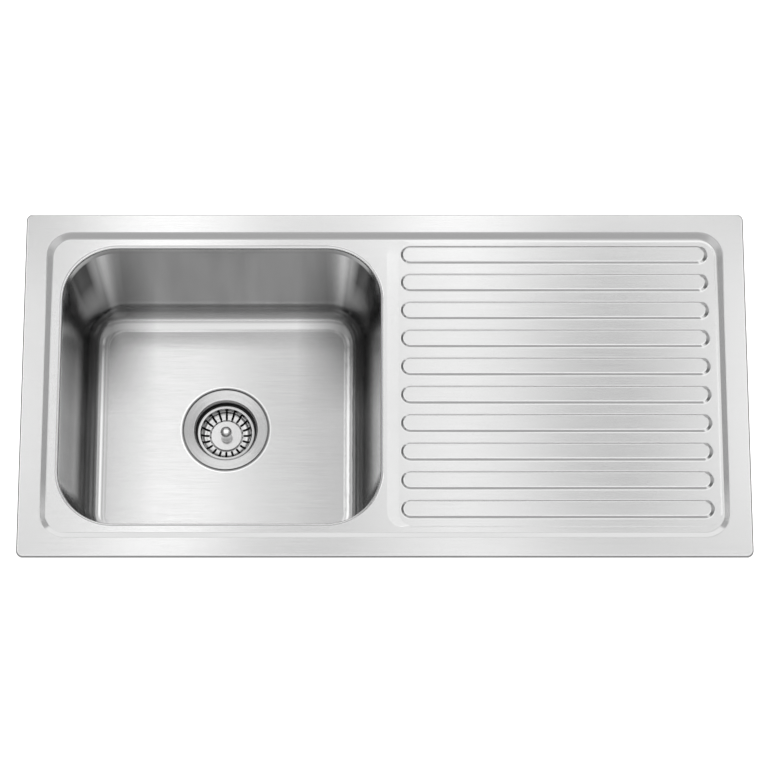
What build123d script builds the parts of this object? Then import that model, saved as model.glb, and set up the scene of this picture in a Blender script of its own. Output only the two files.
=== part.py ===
# Inset stainless-steel kitchen sink with one bowl on the left and a ribbed drainboard on the right.
#
# Frame: +Z up, +X to the drainboard, +Y to the wall. The origin is the centre of the rim's outline
# on the worktop's surface, so the rim stands above Z = 0 and everything else hangs below it.
# All lengths are in millimetres.

import os
from math import atan2, cos, degrees, radians, sin, sqrt, tan

from build123d import *

# ------------------------------------------------------------------ rim and recess
rim_length = 1000.0        # outline, left to right
rim_width = 500.0          # outline, front to back
rim_corner = 9.0           # outline's corner radius
rim_height = 6.0           # rim's top above the worktop
sheet = 0.8                # steel sheet of deck and bowl
edge_round = 2.6           # rolled outer edge of the rim
border_side = 30.0         # flat border left and right
border_front = 27.8        # flat border front and back
recess_depth = 5.0         # working surface below the rim's top
step_run = 8.25            # width of the sloping step
recess_corner = 35.0       # corner radius of the step's crest
step_round = 3.0           # rounding of the step's crest and foot

# ------------------------------------------------------------------ bowl
bowl_length = 440.0        # clear opening below the rolled edge, left to right
bowl_corner = 75.0
bowl_depth = 200.0         # rim's top to bowl floor
bowl_side_gap = 15.5       # step's foot to bowl opening, on the left
bowl_edge_gap = 13.95      # and in front and at the back
bowl_draft = 27.0          # how far each wall comes in on its way down
floor_round = 29.0         # wall to floor
roll_round = 5.0           # working surface to bowl wall
collar_depth = 14.0        # working surface to the weld between deck and bowl

# ------------------------------------------------------------------ drainboard
panel_drop = 0.6           # drainboard floor below the working surface
panel_run = 2.0            # its edge slope in front, at the back and on the right
panel_ramp = 16.0          # its long slope beside the bowl
panel_corner = 22.0
panel_front_gap = 7.7      # step's foot to the panel's edge
panel_back_gap = 2.3
panel_right_gap = 2.3
panel_left_gap = 9.3       # bowl opening to the panel's edge
rib_count = 10
rib_width = 27.0           # at the foot
rib_height = 3.0
rib_slope = 3.5            # run of the rib's flanks
rib_end_slope = 5.5        # run of its right-hand end
rib_round = 2.2
rib_left_gap = 19.0        # panel's edge to the ribs' ends
rib_right_gap = 10.0
rib_back_gap = 7.6
rib_front_gap = 12.3

# ------------------------------------------------------------------ strainer in the bowl floor
seat_depth = 2.6           # pressed seat round the outlet hole
seat_round = 1.0
outlet_play = 0.8          # radial clearance of the well in the bowl floor's hole
flange_width = 15.9
flange_gap = 1.6           # flange edge to the seat's wall
flange_dish = 1.0          # fall of the flange towards the well
flange_thickness = 1.2
flange_round = 0.5
lead_in = 3.2              # rounding from flange to well
cup_wall = 1.2
shoulder_depth = 17.3      # flange level to the ledge that carries the basket
ledge_width = 5.7
lower_radius = 37.8        # well's inner radius below the ledge
cup_depth = 52.0           # flange level to the well's bottom
thread_radius = 23.9       # outside of the outlet's 1 1/2 inch pipe thread
thread_wall = 2.4
thread_length = 22.0
gasket_play = 1.7          # well to the flange gasket's hole
gasket_gap = 0.9           # flange's edge to the gasket's
washer_thickness = 3.0
washer_width = 12.3        # how far washers stand out from the well
fibre_thickness = 1.0
locknut_height = 9.0
locknut_wall = 7.3
locknut_lug = 5.0          # how far its lugs stand out
locknut_lug_width = 12.0
locknut_lugs = 8
thread_play = 0.05         # radial clearance of a thread drawn as a plain cylinder
ring_play = 0.4            # radial clearance of the washers on the well
cross_below = 5.0          # well's bottom to the crosspiece's top
cross_arm = 3.0            # width and height of its four arms
cross_hub_wall = 3.2
cross_hub_height = 6.6
cross_play = 0.1           # radial clearance of the arms in the outlet

# ------------------------------------------------------------------ lift-out basket
basket_hem = 2.4           # rolled rim's height
basket_hem_width = 4.0     # how far it stands out on the ledge
basket_hem_round = 1.1
basket_seat_gap = 0.3      # rolled rim above the ledge
basket_sheet = 0.8
basket_play = 0.6          # upright wall to the well
trough_depth = 28.6        # flange level to the trough's bottom
trough_round = 9.0         # wall to trough
trough_inner = 24.0        # where the trough ends towards the middle
disc_rise = 2.0            # trough's bottom to the raised middle
disc_slope = 2.6           # run of the step between them
disc_round = 1.0
slot_count = 20
slot_width = 3.2
slot_wall_gap = 0.2        # upright wall to the slots' outer ends
bush_wall = 2.0            # nylon guide in the basket's middle
bush_flange = 2.5
bush_thickness = 1.6
bush_length = 7.0

# ------------------------------------------------------------------ stopper
stem_radius = 4.0
stem_play = 0.05           # radial clearance of the stem in its guide
knob_ball = 8.25
knob_step = 1.25           # ball's radius to the neck's
knob_centre = 14.5         # ball's centre above the basket's raised middle
knob_gap = 0.3             # neck's foot above the raised middle
knob_bore_depth = 16.0
knob_blend = 1.5           # ball to neck
seal_overlap = 5.5         # stopper seal's edge beyond the outlet's bore
seal_thickness = 4.5
seal_gap = 0.3             # stopper seal above the well's bottom
seal_round = 1.5
plate_gap = 7.0            # seal's edge to the plate's
plate_thickness = 1.5
collar_width = 3.0
collar_thickness = 1.2
stopper_nut_height = 3.0
stopper_nut_width = 11.0   # across flats
snap_wire = 1.8            # snap ring that holds the stopper down, or up
snap_gap = 0.3             # snap ring to the crosspiece's hub, below it
snap_play = 0.5            # and round it, inside the hub
snap_opening = 40.0        # degrees left open in the ring
nose_length = 3.0          # stem below the snap ring
nose_chamfer = 1.0

# ------------------------------------------------------------------ rim seal, pads, stiffeners
lip_width = 10.0           # how far the rim lies on the worktop, all round
cutout_corner = 6.0        # corner of the hole in the worktop
pad_thickness = 2.5
floor_pad_length = 270.0
floor_pad_width = 220.0
floor_pad_corner = 20.0
floor_pad_gap = 6.2        # outside of the strainer's seat to the pad
wall_pad_gap = 15.0        # bowl's corner rounding to the pads on its short walls
wall_pad_height = 90.0
wall_pad_middle = 100.0    # pad's middle below the rim's top
hat_width = 25.0
hat_height = 12.0
hat_flange = 12.0
hat_sheet = 1.0
hat_end_gap = 17.0         # panel's front and back edges to the channels' ends
hat_side_gap = 110.0       # panel's left and right edges to the channels' middles

# ------------------------------------------------------------------ worktop clips
clip_end_gap = 150.0       # rim's left and right edges to the nearest bolts in front and at the back
clip_gap_front = 5.6       # step's crest to the bolts, front and back
clip_gap_side = 10.0       # step's crest to the bolts, left and right
strap_length = 30.0
strap_width = 9.0
strap_height = 11.0
strap_sheet = 1.5
bolt_radius = 3.0
bolt_play = 0.3
bolt_head_width = 10.0     # across flats
bolt_head_height = 4.0
bolt_end = 55.0            # bolt's end below the worktop's surface
bolt_rest = 1.0            # bolt's end to the nut at rest
clip_nut_height = 4.5
claw_width = 12.0
claw_reach = 28.0          # bolt to the claw's tip
claw_heel = 8.0
claw_sheet = 2.5
claw_height = 9.0
claw_notch = 2.4           # gaps between the teeth of its tip
claw_play = 0.08           # radial clearance of the claw on its bolt
nut_play = 0.05

# ------------------------------------------------------------------ levels and places
same_level = 0.01          # two faces this close in height lie on one level
recess_z = rim_height - recess_depth
panel_z = recess_z - panel_drop
floor_z = rim_height - bowl_depth
collar_z = recess_z - collar_depth
clear_z = recess_z - roll_round
foot_x = rim_length / 2 - border_side - step_run
foot_y = rim_width / 2 - border_front - step_run
bowl_width = 2 * (foot_y - bowl_edge_gap)
bowl_x = -foot_x + bowl_side_gap + bowl_length / 2
bowl_right = bowl_x + bowl_length / 2
wall_angle = degrees(atan2(bowl_draft, clear_z - floor_z))
step_angle = degrees(atan2(step_run, recess_depth))
panel_left = bowl_right + panel_left_gap
panel_right = foot_x - panel_right_gap
panel_front = -foot_y + panel_front_gap
panel_back = foot_y - panel_back_gap
rib_left = panel_left + rib_left_gap
rib_right = panel_right - rib_right_gap
rib_first = panel_front + rib_front_gap + rib_width / 2
rib_last = panel_back - rib_back_gap - rib_width / 2
rib_pitch = (rib_last - rib_first) / (rib_count - 1)
rim_under = rim_height - sheet
cutout_length = rim_length - 2 * lip_width
cutout_width = rim_width - 2 * lip_width
seat_z = floor_z - seat_depth
cup_z = floor_z - cup_depth
ledge_z = floor_z - shoulder_depth
well_bottom = cup_z - cup_wall
cup_radius = lower_radius + ledge_width
cup_outer = cup_radius + cup_wall
flange_radius = cup_radius + flange_width
seat_radius = flange_radius + flange_gap
outlet_hole = cup_outer + outlet_play
outlet_radius = thread_radius - thread_wall
gasket_inner = cup_outer + gasket_play
gasket_outer = flange_radius - gasket_gap
washer_radius = cup_outer + washer_width
locknut_radius = cup_outer + locknut_wall
cross_bore = stem_radius + snap_wire + snap_play
cross_hub = cross_bore + cross_hub_wall
washer_z = seat_z - sheet
fibre_z = washer_z - washer_thickness
locknut_z = fibre_z - fibre_thickness
cross_z = cup_z - cross_below
hem_z = ledge_z + basket_seat_gap
basket_outer = lower_radius - basket_play
basket_inner = basket_outer - basket_sheet
basket_radius = basket_outer + basket_hem_width
trough_z = floor_z - trough_depth
disc_z = trough_z + disc_rise
disc_radius = trough_inner - disc_slope
bush_radius = stem_radius + stem_play + bush_wall
knob_foot_z = disc_z + knob_gap
knob_top_z = disc_z + knob_centre
knob_neck = knob_ball - knob_step
seal_radius = outlet_radius + seal_overlap
seal_z = cup_z + seal_gap
plate_radius = seal_radius - plate_gap
plate_z = seal_z + seal_thickness
collar_radius = stem_radius + collar_width
snap_z = cross_z - cross_hub_height - snap_gap - snap_wire / 2
nose_z = snap_z - snap_wire / 2 - nose_length
drain_axis = Axis((bowl_x, 0, 0), (0, 0, 1))
drain_plane = Plane(origin=(bowl_x, 0, 0), x_dir=(1, 0, 0), z_dir=(0, -1, 0))

os.makedirs("parts", exist_ok=True)


def save(piece, label):
    """Label a finished piece and write it to its own file."""
    piece.part.label = label
    export_step(piece.part, f"parts/{label}.step")


def level(face):
    """A plane parallel to the worktop at height face."""
    return Plane.XY.offset(face)


# ------------------------------------------------------------------ pressed deck
def opening(z, grow):
    """Length, width and corner radius of the drafted bowl wall at height z, grown on every side."""
    inset = (clear_z - z) * tan(radians(wall_angle)) - grow
    return bowl_length - 2 * inset, bowl_width - 2 * inset, bowl_corner - inset


def flat_faces(form, height):
    """The level faces of a form at one height, largest first."""
    level_faces = form.faces().filter_by(Plane.XY)
    here = level_faces.filter_by(lambda face: abs(face.center().Z - height) < same_level)
    return here.sort_by(SortBy.AREA, reverse=True)


def pressing(inset):
    """The solid under the deck's skin: inset 0 gives the visible face, inset = sheet the underside."""
    top = rim_height - inset
    low = collar_z - inset
    slope = 90 - step_angle
    grow = inset * tan(radians(slope) / 2)
    with BuildPart() as form:
        with BuildSketch(level(low)):
            RectangleRounded(rim_length - 2 * inset, rim_width - 2 * inset, rim_corner - inset)
        extrude(amount=top - low)
        fillet(form.faces().sort_by(Axis.Z)[-1].edges(), edge_round - inset)
        # sloping step down to the working surface
        with BuildSketch(level(top)):
            RectangleRounded(
                rim_length - 2 * border_side + 2 * grow,
                rim_width - 2 * border_front + 2 * grow,
                recess_corner + grow,
            )
        extrude(amount=-recess_depth, taper=step_angle, mode=Mode.SUBTRACT)
        fillet(flat_faces(form, top)[0].inner_wires()[0].edges(), step_round - inset)
        fillet(flat_faces(form, recess_z - inset)[0].outer_wire().edges(), step_round + inset)
        # drainboard floor, a little lower, with a long slope beside the bowl
        with BuildSketch(level(recess_z - inset)):
            with Locations(((panel_left + panel_right) / 2, (panel_front + panel_back) / 2)):
                RectangleRounded(panel_right - panel_left, panel_back - panel_front, panel_corner)
        with BuildSketch(level(panel_z - inset)):
            lower_left = panel_left + panel_ramp
            lower_right = panel_right - panel_run
            with Locations(((lower_left + lower_right) / 2, (panel_front + panel_back) / 2)):
                RectangleRounded(
                    lower_right - lower_left,
                    panel_back - panel_front - 2 * panel_run,
                    panel_corner - panel_run,
                )
        loft(ruled=True, mode=Mode.SUBTRACT)
        # raised ribs
        rib_grow = inset * tan(atan2(rib_height, rib_slope) / 2)
        rib_length = rib_right - rib_left
        for number in range(rib_count):
            y = rib_first + number * rib_pitch
            with BuildSketch(level(panel_z - inset)):
                with Locations(((rib_left + rib_right) / 2, y)):
                    SlotOverall(rib_length - 2 * rib_grow, rib_width - 2 * rib_grow)
            with BuildSketch(level(panel_z - inset + rib_height)):
                with Locations(((rib_left + rib_slope + rib_right - rib_end_slope) / 2, y)):
                    SlotOverall(
                        rib_length - rib_slope - rib_end_slope - 2 * rib_grow,
                        rib_width - 2 * rib_slope - 2 * rib_grow,
                    )
            loft(ruled=True)
        rib_tops = flat_faces(form, panel_z - inset + rib_height)
        fillet(rib_tops.edges(), rib_round - inset)
        panel = flat_faces(form, panel_z - inset)[0]
        fillet([wire.edges() for wire in panel.inner_wires()], rib_round + inset)
        # mouth of the bowl with its rolled edge
        length, width, corner = opening(recess_z - inset, inset / cos(radians(wall_angle)))
        with BuildSketch(level(recess_z - inset)):
            with Locations((bowl_x, 0)):
                RectangleRounded(length, width, corner)
        extrude(amount=-(recess_z - low), taper=wall_angle, mode=Mode.SUBTRACT)
        mouth = flat_faces(form, recess_z - inset)[0]
        rim_of_bowl = mouth.inner_wires().sort_by(lambda wire: wire.bounding_box().min.X)[0]
        fillet(rim_of_bowl.edges(), roll_round - inset)
    return form.part


# ------------------------------------------------------------------ shared outlines
def ring(height, radius, *holes):
    """A disc about the drain's axis at a height, less its holes' radii."""
    with BuildSketch(level(height)) as disc:
        with Locations((bowl_x, 0)):
            Circle(radius)
            for hole in holes:
                Circle(hole, mode=Mode.SUBTRACT)
    return disc.sketch


def section(*outline):
    """A closed outline of (radius, height) points, to be turned about the drain's axis."""
    with BuildSketch(drain_plane) as half:
        with BuildLine():
            Polyline(*outline, close=True)
        make_face()
    return half.sketch


def circles(form, radius, height):
    """The circular edges of a turned form that have this radius at this height."""
    rings = form.edges().filter_by(GeomType.CIRCLE)
    rings = rings.filter_by(lambda edge: abs(edge.radius - radius) < same_level)
    return rings.filter_by(lambda edge: abs(edge.center().Z - height) < same_level)


# ------------------------------------------------------------------ pressed deck
with BuildPart() as deck:
    add(pressing(0))
    add(pressing(sheet), mode=Mode.SUBTRACT)
    # the rim's lip ends on the worktop; only the bowl's collar reaches lower
    with BuildSketch(level(collar_z - sheet)):
        Rectangle(rim_length + sheet, rim_width + sheet)
        Rectangle(cutout_length, cutout_width, mode=Mode.SUBTRACT)
    extrude(amount=sheet - collar_z, mode=Mode.SUBTRACT)
save(deck, "deck")


# ------------------------------------------------------------------ deep-drawn bowl
def bowl_form(grow):
    """The solid within the bowl's skin: grow 0 gives the inside, grow = sheet the outside."""
    with BuildPart() as form:
        length, width, corner = opening(collar_z, grow / cos(radians(wall_angle)))
        with BuildSketch(level(collar_z)):
            with Locations((bowl_x, 0)):
                RectangleRounded(length, width, corner)
        extrude(amount=-(collar_z - floor_z + grow), taper=wall_angle)
        fillet(flat_faces(form, floor_z - grow).edges(), floor_round + grow)
        extrude(ring(floor_z - grow, seat_radius + grow), amount=-seat_depth)
        fillet(circles(form, seat_radius + grow, seat_z - grow), seat_round)
    return form.part


with BuildPart() as bowl:
    add(bowl_form(sheet))
    add(bowl_form(0), mode=Mode.SUBTRACT)
    extrude(ring(seat_z + sheet, outlet_hole), amount=-3 * sheet, mode=Mode.SUBTRACT)
save(bowl, "bowl")


# ------------------------------------------------------------------ strainer body in the bowl's floor
def flange_under(radius):
    """Height of the flange's dished underside at a radius."""
    fall = flange_dish * (flange_radius - radius) / (flange_radius - cup_radius)
    return floor_z - flange_thickness - fall


with BuildPart() as strainer_body:
    revolve(
        section(
            (flange_radius, floor_z),
            (cup_radius, floor_z - flange_dish),
            (cup_radius, ledge_z),
            (lower_radius, ledge_z),
            (lower_radius, cup_z),
            (outlet_radius, cup_z),
            (outlet_radius, well_bottom - thread_length),
            (thread_radius, well_bottom - thread_length),
            (thread_radius, well_bottom),
            (lower_radius + cup_wall, well_bottom),
            (lower_radius + cup_wall, ledge_z - cup_wall),
            (cup_outer, ledge_z - cup_wall),
            (cup_outer, flange_under(cup_outer)),
            (flange_radius, floor_z - flange_thickness),
        ),
        axis=drain_axis,
    )
    fillet(circles(strainer_body, cup_radius, floor_z - flange_dish), lead_in)
    fillet(circles(strainer_body, flange_radius, floor_z), flange_round)
save(strainer_body, "strainer_body")

with BuildPart() as flange_gasket:
    revolve(
        section(
            (gasket_inner, seat_z),
            (gasket_outer, seat_z),
            (gasket_outer, flange_under(gasket_outer)),
            (gasket_inner, flange_under(gasket_inner)),
        ),
        axis=drain_axis,
    )
save(flange_gasket, "flange_gasket")

with BuildPart() as rubber_washer:
    extrude(ring(washer_z, washer_radius, cup_outer + ring_play), amount=-washer_thickness)
save(rubber_washer, "rubber_washer")

with BuildPart() as fibre_washer:
    extrude(ring(fibre_z, washer_radius, cup_outer + ring_play), amount=-fibre_thickness)
save(fibre_washer, "fibre_washer")

with BuildPart() as locknut:
    extrude(ring(locknut_z, locknut_radius), amount=-locknut_height)
    with BuildSketch(level(locknut_z)):
        with Locations((bowl_x, 0)):
            with PolarLocations(locknut_radius, locknut_lugs):
                Rectangle(2 * locknut_lug, locknut_lug_width)
    extrude(amount=-locknut_height)
    extrude(ring(locknut_z, cup_outer + thread_play), amount=-locknut_height, mode=Mode.SUBTRACT)
save(locknut, "locknut")

with BuildPart() as crosspiece:
    with BuildSketch(level(cross_z)):
        with Locations((bowl_x, 0)):
            Rectangle(2 * outlet_radius, cross_arm)
            Rectangle(cross_arm, 2 * outlet_radius)
    extrude(amount=-cross_arm)
    extrude(ring(cross_z, outlet_radius - cross_play), amount=-cross_arm, mode=Mode.INTERSECT)
    extrude(ring(cross_z, cross_hub), amount=-cross_hub_height)
    extrude(ring(cross_z, cross_bore), amount=-cross_hub_height, mode=Mode.SUBTRACT)
save(crosspiece, "crosspiece")

# ------------------------------------------------------------------ lift-out basket
with BuildPart() as basket:
    revolve(
        section(
            (basket_inner, hem_z + basket_hem),
            (basket_radius, hem_z + basket_hem),
            (basket_radius, hem_z),
            (basket_outer, hem_z),
            (basket_outer, trough_z - basket_sheet),
            (trough_inner, trough_z - basket_sheet),
            (disc_radius, disc_z - basket_sheet),
            (bush_radius, disc_z - basket_sheet),
            (bush_radius, disc_z),
            (disc_radius, disc_z),
            (trough_inner, trough_z),
            (basket_inner, trough_z),
        ),
        axis=drain_axis,
    )
    fillet(circles(basket, basket_inner, trough_z), trough_round)
    fillet(circles(basket, basket_outer, trough_z - basket_sheet), trough_round + basket_sheet)
    fillet(circles(basket, disc_radius, disc_z), disc_round)
    fillet(circles(basket, trough_inner, trough_z - basket_sheet), disc_round)
    hem_rings = circles(basket, basket_inner, hem_z + basket_hem)
    hem_rings += circles(basket, basket_radius, hem_z + basket_hem)
    fillet(hem_rings, basket_hem_round)
    # drain slots across the trough
    slot_outer = basket_inner - slot_wall_gap
    with BuildSketch(level(disc_z)):
        with Locations((bowl_x, 0)):
            with PolarLocations((trough_inner + slot_outer) / 2, slot_count):
                SlotOverall(slot_outer - trough_inner, slot_width)
    extrude(amount=trough_round, both=True, mode=Mode.SUBTRACT)
save(basket, "basket")

with BuildPart() as guide_bush:
    extrude(ring(disc_z, bush_radius), amount=-bush_length)
    extrude(ring(disc_z - basket_sheet, bush_radius + bush_flange), amount=-bush_thickness)
    extrude(ring(disc_z, stem_radius + stem_play), amount=-bush_length, mode=Mode.SUBTRACT)
save(guide_bush, "guide_bush")

# ------------------------------------------------------------------ stopper that slides through it
with BuildPart() as knob:
    extrude(ring(knob_foot_z, knob_neck), amount=knob_top_z - knob_foot_z)
    with Locations((bowl_x, 0, knob_top_z)):
        Sphere(knob_ball)
    extrude(
        ring(knob_foot_z, stem_radius + thread_play), amount=knob_bore_depth, mode=Mode.SUBTRACT
    )
    ball_foot_z = knob_top_z - sqrt(knob_ball**2 - knob_neck**2)
    fillet(circles(knob, knob_neck, ball_foot_z), knob_blend)
save(knob, "knob")

with BuildPart() as stem:
    extrude(ring(nose_z, stem_radius), amount=knob_foot_z + knob_bore_depth - nose_z)
    extrude(ring(plate_z + plate_thickness, collar_radius), amount=collar_thickness)
    chamfer(stem.faces().sort_by(Axis.Z)[0].edges(), nose_chamfer)
save(stem, "stem")

with BuildPart() as stopper_plate:
    extrude(ring(plate_z, plate_radius, stem_radius + thread_play), amount=plate_thickness)
save(stopper_plate, "stopper_plate")

with BuildPart() as stopper_seal:
    extrude(ring(seal_z, seal_radius, stem_radius + thread_play), amount=seal_thickness)
    fillet(circles(stopper_seal, seal_radius, seal_z), seal_round)
    fillet(circles(stopper_seal, seal_radius, seal_z + seal_thickness), seal_round)
save(stopper_seal, "stopper_seal")

with BuildPart() as stopper_nut:
    with BuildSketch(level(seal_z)):
        with Locations((bowl_x, 0)):
            RegularPolygon(stopper_nut_width / 2, 6, major_radius=False)
            Circle(stem_radius + thread_play, mode=Mode.SUBTRACT)
    extrude(amount=-stopper_nut_height)
save(stopper_nut, "stopper_nut")

with BuildPart() as snap_ring:
    with BuildSketch(drain_plane):
        with Locations((stem_radius + snap_wire / 2, snap_z)):
            Circle(snap_wire / 2)
    revolve(axis=drain_axis, revolution_arc=360 - snap_opening)
save(snap_ring, "snap_ring")

# ------------------------------------------------------------------ foam seal under the rim
with BuildPart() as rim_seal:
    with BuildSketch():
        seal_length = rim_length - 2 * edge_round
        seal_width = rim_width - 2 * edge_round
        RectangleRounded(seal_length, seal_width, rim_corner - edge_round)
        RectangleRounded(cutout_length, cutout_width, cutout_corner, mode=Mode.SUBTRACT)
    extrude(amount=rim_under)
save(rim_seal, "rim_seal")

# ------------------------------------------------------------------ sound-deadening pads on the bowl
with BuildPart() as floor_pad:
    with BuildSketch(level(floor_z - sheet)):
        with Locations((bowl_x, 0)):
            RectangleRounded(floor_pad_length, floor_pad_width, floor_pad_corner)
            Circle(seat_radius + sheet + floor_pad_gap, mode=Mode.SUBTRACT)
    extrude(amount=-pad_thickness)
save(floor_pad, "floor_pad")

pad_z = rim_height - wall_pad_middle
wall_pad_length = bowl_width - 2 * bowl_corner - 2 * wall_pad_gap
pad_length, pad_width, _ = opening(pad_z, sheet / cos(radians(wall_angle)))
fall_away = -sin(radians(wall_angle))
with BuildPart() as wall_pads:
    for side in (1, -1):
        end_wall = Plane(
            origin=(bowl_x + side * pad_length / 2, 0, pad_z),
            x_dir=(0, 1, 0),
            z_dir=(side * cos(radians(wall_angle)), 0, fall_away),
        )
        long_wall = Plane(
            origin=(bowl_x, side * pad_width / 2, pad_z),
            x_dir=(1, 0, 0),
            z_dir=(0, side * cos(radians(wall_angle)), fall_away),
        )
        with BuildSketch(end_wall, long_wall):
            Rectangle(wall_pad_length, wall_pad_height)
        extrude(amount=pad_thickness)
save(wall_pads, "wall_pads")

# ------------------------------------------------------------------ stiffening channels
hat_back = panel_back - hat_end_gap
for label, hat_x in (
    ("stiffener_left", panel_left + hat_side_gap),
    ("stiffener_right", panel_right - hat_side_gap),
):
    with BuildPart() as channel:
        end = Plane(origin=(hat_x, hat_back, panel_z - sheet), x_dir=(1, 0, 0), z_dir=(0, -1, 0))
        with BuildSketch(end):
            with Locations((0, -hat_height / 2)):
                Rectangle(hat_width, hat_height)
            with Locations((0, hat_sheet / 2 - hat_height / 2)):
                Rectangle(hat_width - 2 * hat_sheet, hat_height - hat_sheet, mode=Mode.SUBTRACT)
            for side in (1, -1):
                with Locations((side * (hat_width + hat_flange) / 2, -hat_sheet / 2)):
                    Rectangle(hat_flange, hat_sheet)
        extrude(amount=hat_back - panel_front - hat_end_gap)
    save(channel, label)

# ------------------------------------------------------------------ clips that hold the sink down
# Each place's x axis runs along the rim's edge, where the claw is stowed; its y axis points outwards.
bolt_y = rim_width / 2 - border_front + clip_gap_front
bolt_x = rim_length / 2 - border_side + clip_gap_side
bolt_far = rim_length / 2 - clip_end_gap
clips = {
    "front_left": Location((-bolt_far, -bolt_y, 0), (0, 0, 180)),
    "front_middle": Location((0, -bolt_y, 0), (0, 0, 180)),
    "front_right": Location((bolt_far, -bolt_y, 0), (0, 0, 180)),
    "back_left": Location((-bolt_far, bolt_y, 0), (0, 0, 0)),
    "back_middle": Location((0, bolt_y, 0), (0, 0, 0)),
    "back_right": Location((bolt_far, bolt_y, 0), (0, 0, 0)),
    "left": Location((-bolt_x, 0, 0), (0, 0, 90)),
    "right": Location((bolt_x, 0, 0), (0, 0, -90)),
}
strap_z = rim_under - strap_height
nut_z = bolt_rest - bolt_end
claw_z = nut_z + clip_nut_height

with BuildPart() as clip_straps:
    with BuildSketch(level(strap_z)):
        with Locations(*clips.values()):
            Rectangle(strap_length, strap_width)
    extrude(amount=strap_height)
    with BuildSketch(level(strap_z + strap_sheet)):
        with Locations(*clips.values()):
            Rectangle(strap_length - 2 * strap_sheet, strap_width)
    extrude(amount=strap_height - 2 * strap_sheet, mode=Mode.SUBTRACT)
    with BuildSketch(level(strap_z)):
        with Locations(*clips.values()):
            Circle(bolt_radius + bolt_play)
    extrude(amount=strap_sheet, mode=Mode.SUBTRACT)
save(clip_straps, "clip_straps")

with BuildPart() as clip_bolts:
    with BuildSketch(level(-bolt_end)):
        with Locations(*clips.values()):
            Circle(bolt_radius)
    extrude(amount=bolt_end + strap_z + strap_sheet)
    with BuildSketch(level(strap_z + strap_sheet)):
        with Locations(*clips.values()):
            RegularPolygon(bolt_head_width / 2, 6, major_radius=False)
    extrude(amount=bolt_head_height)
save(clip_bolts, "clip_bolts")

for place, location in clips.items():
    with BuildPart() as clip_nut:
        with BuildSketch(level(nut_z)):
            with Locations(location):
                RegularPolygon(bolt_head_width / 2, 6, major_radius=False)
                Circle(bolt_radius + nut_play, mode=Mode.SUBTRACT)
        extrude(amount=clip_nut_height)
    save(clip_nut, f"nut_{place}")

    with BuildPart() as claw:
        with BuildSketch(level(claw_z)):
            with Locations(location * Location(((claw_reach - claw_heel) / 2, 0, 0))):
                RectangleRounded(claw_reach + claw_heel, claw_width, claw_width / 6)
            with Locations(location):
                Circle(bolt_radius + claw_play, mode=Mode.SUBTRACT)
        extrude(amount=claw_sheet)
        # turned-up tip with three teeth
        with BuildSketch(level(claw_z)):
            with Locations(location * Location((claw_reach - claw_sheet / 2, 0, 0))):
                Rectangle(claw_sheet, claw_width)
        extrude(amount=claw_height)
        with BuildSketch(level(claw_z + claw_height)):
            for side in (1, -1):
                with Locations(location * Location((claw_reach, side * claw_width / 6, 0))):
                    Rectangle(2 * claw_sheet + claw_notch, claw_notch)
        extrude(amount=-claw_notch, mode=Mode.SUBTRACT)
    save(claw, f"claw_{place}")
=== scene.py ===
import math

import bmesh
import bpy
from mathutils import Matrix, Vector


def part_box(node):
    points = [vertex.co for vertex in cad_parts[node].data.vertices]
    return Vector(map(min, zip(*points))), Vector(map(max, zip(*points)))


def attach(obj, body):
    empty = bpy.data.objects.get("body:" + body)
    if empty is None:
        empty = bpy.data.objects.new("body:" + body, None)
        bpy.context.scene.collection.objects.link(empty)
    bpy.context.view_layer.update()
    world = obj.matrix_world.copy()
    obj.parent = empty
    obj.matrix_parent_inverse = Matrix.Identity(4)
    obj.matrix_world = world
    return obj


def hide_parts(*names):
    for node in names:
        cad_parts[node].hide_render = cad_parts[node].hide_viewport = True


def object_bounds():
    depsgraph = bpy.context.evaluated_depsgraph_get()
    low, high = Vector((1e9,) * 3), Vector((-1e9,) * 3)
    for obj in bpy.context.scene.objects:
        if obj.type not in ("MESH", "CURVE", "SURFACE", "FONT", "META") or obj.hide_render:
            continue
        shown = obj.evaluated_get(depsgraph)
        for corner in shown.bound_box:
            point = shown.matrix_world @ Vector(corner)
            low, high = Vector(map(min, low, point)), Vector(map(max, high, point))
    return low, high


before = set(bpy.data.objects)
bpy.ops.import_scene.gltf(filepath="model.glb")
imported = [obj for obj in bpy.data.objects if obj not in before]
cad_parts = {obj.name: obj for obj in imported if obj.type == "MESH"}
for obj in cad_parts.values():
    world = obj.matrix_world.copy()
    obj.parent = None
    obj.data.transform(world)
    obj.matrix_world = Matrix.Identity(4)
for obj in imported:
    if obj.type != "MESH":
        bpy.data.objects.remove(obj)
cad_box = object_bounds()


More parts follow.
